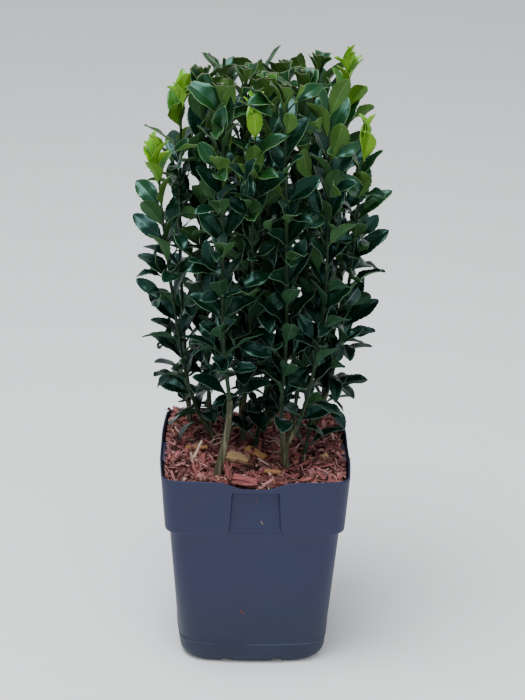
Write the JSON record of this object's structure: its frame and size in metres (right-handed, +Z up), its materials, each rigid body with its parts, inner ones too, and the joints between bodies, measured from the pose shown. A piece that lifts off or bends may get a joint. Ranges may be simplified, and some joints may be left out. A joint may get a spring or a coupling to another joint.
{
  "type": "potted japanese spindle shrub",
  "caption": "Upright evergreen spindle shrub with many leafy stems, its top clipped level, standing in a square nursery pot filled with bark mulch.",
  "frame": {"origin": "centre of the pot's flat underside, on the level that the pot stands on", "axes": "+Z up along the shrub, -Y out of the pot's front side, +X to the right seen from the front"},
  "size_m": [0.1763, 0.1481, 0.4309],
  "materials": {
    "pot_plastic": "matte dark blue-grey moulded plastic with a fine mottled sheen",
    "bark_mulch": "rough shredded red-brown bark and wood chips, dry",
    "stem_bark": "greenish-brown young bark with pale corky streaks",
    "foliage": "glossy dark green leaves with matte lighter undersides and yellow-green young tips"
  },
  "bodies": {
    "root": {"pot": "pot_plastic", "mulch": "bark_mulch", "stem_front": "stem_bark", "stem_left": "stem_bark", "stem_back_left": "stem_bark", "stem_middle": "stem_bark", "stem_right": "stem_bark", "stem_back_right": "stem_bark", "stem_back": "stem_bark", "bough_centre_front": "stem_bark", "bough_right_fore": "stem_bark", "bough_left_inner": "stem_bark", "bough_centre": "stem_bark", "bough_right_inner": "stem_bark", "bough_back_right": "stem_bark", "bough_back_inner": "stem_bark", "bough_rear_right": "stem_bark", "bough_rear_left": "stem_bark", "leaves_front": "foliage", "leaves_centre_front": "foliage", "leaves_right_front": "foliage", "leaves_left": "foliage", "leaves_right_edge": "foliage", "leaves_right_fore": "foliage", "leaves_left_inner": "foliage", "leaves_back_left": "foliage", "leaves_centre": "foliage", "leaves_right_inner": "foliage", "leaves_middle": "foliage", "leaves_back_right": "foliage", "leaves_back_middle": "foliage", "leaves_back_inner": "foliage", "leaves_rear_right": "foliage", "leaves_rear_left": "foliage", "stem_sprout_right": "stem_bark", "leaves_sprout_right": "foliage", "stem_sprout_middle": "stem_bark", "leaves_sprout_middle": "foliage"}
  },
  "joints": []
}
